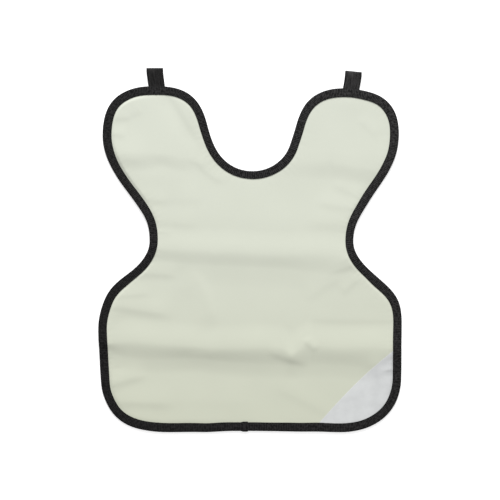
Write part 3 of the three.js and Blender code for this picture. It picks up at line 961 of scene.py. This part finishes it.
def shades(tree, value, places, colours):
    """A colour ramp on a value, with a colour at each place."""
    ramp = add_node(tree, "ShaderNodeValToRGB", {"Fac": value})
    elements = ramp.color_ramp.elements
    for place in places[2:]:
        elements.new(place)
    for element, place, colour in zip(elements, places, colours):
        element.position = place
        element.color = (*colour, 1)
    return ramp.outputs["Color"]


def lit(tree, colour, light):
    """A colour times a light."""
    return add_node(tree, "ShaderNodeVectorMath", {0: colour, "Scale": light}, operation="SCALE").outputs[0]


def surface(tree, shader, finish, colour, relief, worn=None):
    """Sets a shader's colour, its bump on a relief, its shine, and its roughness, which follows what is worn
    or is the same all over."""
    tree.links.new(colour, shader.inputs["Base Color"])
    if worn is None:
        shader.inputs["Roughness"].default_value = finish.smooth
    else:
        tree.links.new(between(tree, worn, 0, 1, finish.smooth, finish.rough), shader.inputs["Roughness"])
    inputs = {"Height": relief, "Distance": finish.depth * MM, "Strength": finish.strength}
    tree.links.new(add_node(tree, "ShaderNodeBump", inputs).outputs["Normal"], shader.inputs["Normal"])
    shader.inputs["Specular IOR Level"].default_value = finish.shine


def cover_cloth():
    """Pale coated cloth, a little yellower to the hem: a fine plain weave under the coating, faint grain and
    broad uneven tone."""
    material, tree, shader = new_material("cover_cloth")
    place = object_place(tree)
    warp, weft = (bands(tree, place, direction, COVER_WEAVE) for direction in "XY")
    weave = math(tree, "MULTIPLY", warp, weft)
    grain = noise(tree, place, COVER_GRAIN)
    clouds = noise(tree, place, COVER_CLOUDS)
    down = between(tree, parts(tree, place)["Y"], COVER_FROM, COVER_TO, 0, 1)
    cloth = shades(tree, down, COVER_PLACES, COVER_SHADES)
    uneven = between(tree, mixed(tree, clouds, CLOUD_SHARE, grain), 0, 1, *COVER_UNEVEN)
    relief = math(tree, "ADD", math(tree, "MULTIPLY", weave, COVER_WEAVE_RELIEF), grain)
    surface(tree, shader, COVER_FINISH, lit(tree, cloth, uneven), relief, grain)
    return material


def black_tape():
    """Black ribbed binding, dull and dusty: ribs across the tape with finer threads along it. Painted shade
    darkens the edges of both legs, which are pressed down, and painted light falls off towards the hem and
    to the left."""
    material, tree, shader = new_material("binding_tape")
    run = run_place(tree)
    weave = mixed(tree, bands(tree, run, "X", TAPE_RIBS), RIB_SHARE, bands(tree, run, "Y", TAPE_THREADS))
    fuzz = noise(tree, run, TAPE_FUZZ)
    cloth = shades(tree, mixed(tree, weave, TAPE_WEAVE_SHARE, fuzz), TAPE_PLACES, TAPE_SHADES)
    off = apart(tree, apart(tree, parts(tree, run)["Y"], TAPE_NOSE_AT), TAPE_LEG_AT)
    place = parts(tree, object_place(tree))
    # Painted light: a falloff darker towards the hem and to the left, times painted shade along the legs'
    # edges
    down = between(tree, place["Y"], COVER_FROM, COVER_TO, *TAPE_PAINTED_FALLOFF)
    sideways = between(tree, place["X"], cad_low.x, cad_high.x, *TAPE_PAINTED_FALLOFF_ACROSS)
    light = math(tree, "MULTIPLY", painted_edge_shade(tree, off, TAPE_EDGE_SHADE), math(tree, "MULTIPLY", down, sideways))
    surface(tree, shader, TAPE_FINISH, lit(tree, cloth, light), weave, fuzz)
    shader.inputs["Sheen Weight"].default_value = TAPE_SHEEN
    return material


def loop_weave():
    """Black woven tape in a herringbone, worn in streaks along it, with painted light that makes it paler at
    the right shoulder and painted shade along its edges. The herringbone is bands that lean one way and the
    other in turns across the tape."""
    material, tree, shader = new_material("loop_tape")
    run = run_place(tree)
    split = parts(tree, run)
    leaning = math(tree, "ADD", split["X"], math(tree, "PINGPONG", split["Y"], LOOP_HERRINGBONE * MM))
    slanted = add_node(tree, "ShaderNodeCombineXYZ", {"X": leaning}).outputs["Vector"]
    twill = bands(tree, slanted, "X", LOOP_TWILL)
    drawn = {"Vector": run, "Scale": (STREAK_DRAW, 1, 1)}
    streaks = noise(tree, add_node(tree, "ShaderNodeMapping", drawn).outputs["Vector"], LOOP_STREAKS)
    cloth = shades(tree, mixed(tree, twill, TWILL_SHARE, streaks), LOOP_PLACES, LOOP_SHADES)
    # Painted light: the right loop lighter than the left, times painted shade along the tape's edges
    sideways = parts(tree, object_place(tree))["X"]
    fade = between(tree, sideways, LOOP_PAINTED_LIGHT_FROM, LOOP_PAINTED_LIGHT_TO, *LOOP_PAINTED_LIGHT)
    light = math(tree, "MULTIPLY", painted_edge_shade(tree, apart(tree, split["Y"], 0), LOOP_EDGE_SHADE), fade)
    surface(tree, shader, TAPE_FINISH, lit(tree, cloth, light), twill, noise(tree, run, LOOP_FUZZ))
    shader.inputs["Sheen Weight"].default_value = TAPE_SHEEN
    return material


def label_satin():
    """White satin: fine floats along the patch's inner edge, faint cloudy tone and a soft shine."""
    material, tree, shader = new_material("label_satin")
    place = object_place(tree)
    turn = (0, 0, np.radians(LABEL_FLOATS_TURN))
    turned = add_node(tree, "ShaderNodeMapping", {"Vector": place, "Rotation": turn}).outputs["Vector"]
    floats = bands(tree, turned, "X", LABEL_FLOATS)
    cloth = shades(tree, noise(tree, place, LABEL_CLOUDS), LABEL_PLACES, LABEL_SHADES)
    surface(tree, shader, LABEL_FINISH, cloth, floats, floats)
    return material


def black_thread():
    """Black sewing thread: slanting plies along each stitch."""
    material, tree, shader = new_material("sewing_thread")
    plies = bands(tree, run_place(tree), "DIAGONAL", THREAD_PLIES)
    surface(tree, shader, THREAD_FINISH, shades(tree, plies, THREAD_PLACES, THREAD_SHADES), plies)
    return material


def stage():
    """A plain white floor, a pale sky, one large soft light beyond the shoulders, and a camera overhead."""
    scene = bpy.context.scene
    mesh = bpy.data.meshes.new("floor")
    corners = [(x * FLOOR_REACH, y * FLOOR_REACH, 0) for x, y in ((-1, -1), (1, -1), (1, 1), (-1, 1))]
    mesh.from_pydata(corners, [], [(0, 1, 2, 3)])
    material, _, shader = new_material("floor_white")
    for socket, value in FLOOR_LOOKS.items():
        shader.inputs[socket].default_value = value
    mesh.materials.append(material)
    floor = bpy.data.objects.new("floor", mesh)
    scene.collection.objects.link(floor)

    world = bpy.data.worlds.new("pale_sky")
    world.use_nodes = True
    background = world.node_tree.nodes["Background"]
    background.inputs["Color"].default_value = WHITE
    background.inputs["Strength"].default_value = SKY
    scene.world = world

    key = bpy.data.lights.new("key", "AREA")
    key.shape = "RECTANGLE"
    key.size, key.size_y = KEY_SIZE
    key.energy = KEY_POWER
    lamp = bpy.data.objects.new("key", key)
    lamp.location = KEY_PLACE
    lamp.rotation_euler = (-np.arctan2(KEY_PLACE[1], KEY_PLACE[2]), 0, 0)
    scene.collection.objects.link(lamp)

    lens = bpy.data.cameras.new("camera")
    lens.lens = LENS
    lens.sensor_width = SENSOR
    camera = bpy.data.objects.new("camera", lens)
    camera.location = (0, FRAME_SHIFT[1] * MM, VIEW_HEIGHT + VIEW_WIDTH * LENS / SENSOR)
    scene.collection.objects.link(camera)
    scene.camera = camera
    scene.view_settings.view_transform = "Standard"


stage()
panel = panel_cloth(cover_cloth())
binding = binding_tape(black_tape())
thread = black_thread()
face_stitches = stitch_row("face_stitches", thread, True)
back_stitches = stitch_row("back_stitches", thread, False)
weave = loop_weave()
loops = [hang_loop(loop, weave) for loop in LOOPS]
label = label_patch(label_satin())

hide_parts("apron_panel")
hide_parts("edge_binding")
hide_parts("corner_label")
for loop, piece in zip(LOOPS, loops):
    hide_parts(loop.node)
